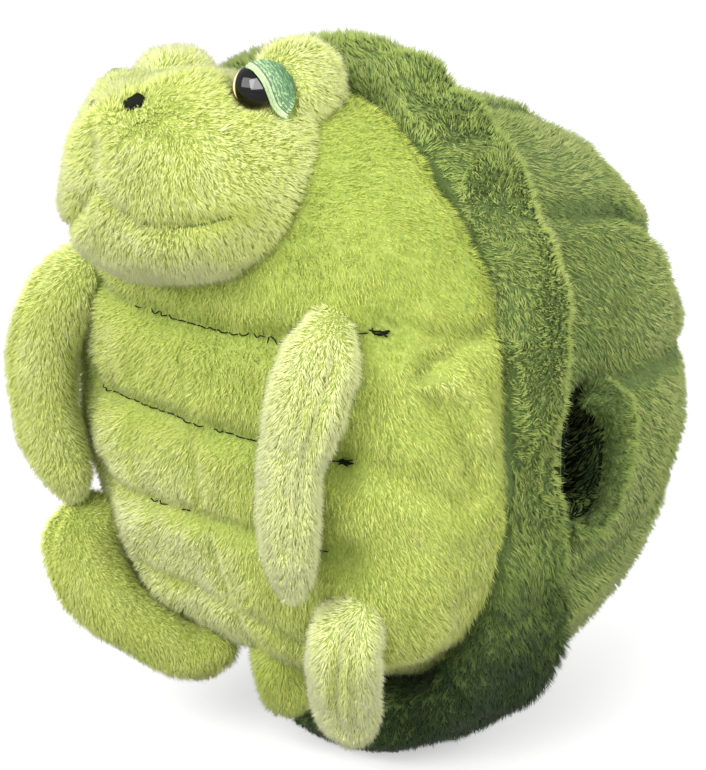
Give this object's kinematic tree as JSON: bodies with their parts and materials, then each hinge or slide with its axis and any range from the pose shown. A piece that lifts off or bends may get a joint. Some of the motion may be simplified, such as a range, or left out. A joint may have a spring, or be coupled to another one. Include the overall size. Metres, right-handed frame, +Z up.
{
  "type": "plush turtle",
  "caption": "Sitting plush turtle hand warmer: stuffed head, belly, flippers and tail, quilted shell dome, padded rim and a lined hand tunnel.",
  "frame": {"origin": "under the middle of the toy, in the plane of its flat foot", "axes": "+Z up, the belly and face look towards -Y, the turtle's left side is towards +X"},
  "size_m": [0.269, 0.3358, 0.3539],
  "materials": {
    "light_plush": "matte",
    "dark_plush": "matte",
    "lining": "matte",
    "lid_thread": "satin",
    "dark_thread": "matte",
    "eye_gloss": "gloss",
    "washer_plastic": "satin",
    "label_tape": "matte"
  },
  "bodies": {
    "torso": {"body": "light_plush", "belly_thread_upper": "dark_thread", "belly_thread_middle": "dark_thread", "belly_thread_lower": "dark_thread", "shell_dome": "dark_plush", "shell_rim": "dark_plush", "tunnel_lining": "lining", "cuff_left": "dark_plush", "cuff_right": "dark_plush", "care_label": "label_tape"},
    "head_group": {"head": "light_plush", "eye_left": "eye_gloss", "eye_washer_left": "washer_plastic", "eyelid_left": "lid_thread", "nostril_left": "dark_thread", "eye_right": "eye_gloss", "eye_washer_right": "washer_plastic", "eyelid_right": "lid_thread", "nostril_right": "dark_thread", "mouth_thread": "dark_thread"},
    "arm_left_group": {"arm_left": "light_plush"},
    "arm_right_group": {"arm_right": "light_plush"},
    "hind_flipper_left_group": {"hind_flipper_left": "light_plush"},
    "hind_flipper_right_group": {"hind_flipper_right": "light_plush"},
    "tail_group": {"tail": "light_plush"}
  },
  "joints": [
    {"name": "head_nod", "type": "hinge", "parent": "torso", "child": "head_group", "pos_m": [0, -0.0601, 0.334], "axis": [-1, 0, 0], "range_deg": [0, 15]},
    {"name": "arm_left_swing", "type": "hinge", "parent": "torso", "child": "arm_left_group", "pos_m": [0.082, -0.1081, 0.245], "axis": [0, -1, 0], "range_deg": [0, 60]},
    {"name": "arm_right_swing", "type": "hinge", "parent": "torso", "child": "arm_right_group", "pos_m": [-0.084, -0.1081, 0.245], "axis": [0, 1, 0], "range_deg": [0, 60]},
    {"name": "hind_flipper_left_swing", "type": "hinge", "parent": "torso", "child": "hind_flipper_left_group", "pos_m": [0.082, -0.0941, 0.08], "axis": [0, 0, 1], "range_deg": [0, 30]},
    {"name": "hind_flipper_right_swing", "type": "hinge", "parent": "torso", "child": "hind_flipper_right_group", "pos_m": [-0.094, -0.0991, 0.08], "axis": [0, 0, -1], "range_deg": [0, 30]},
    {"name": "tail_swing", "type": "hinge", "parent": "torso", "child": "tail_group", "pos_m": [0, -0.0681, 0.068], "axis": [0, 1, 0], "range_deg": [-15, 15]}
  ]
}
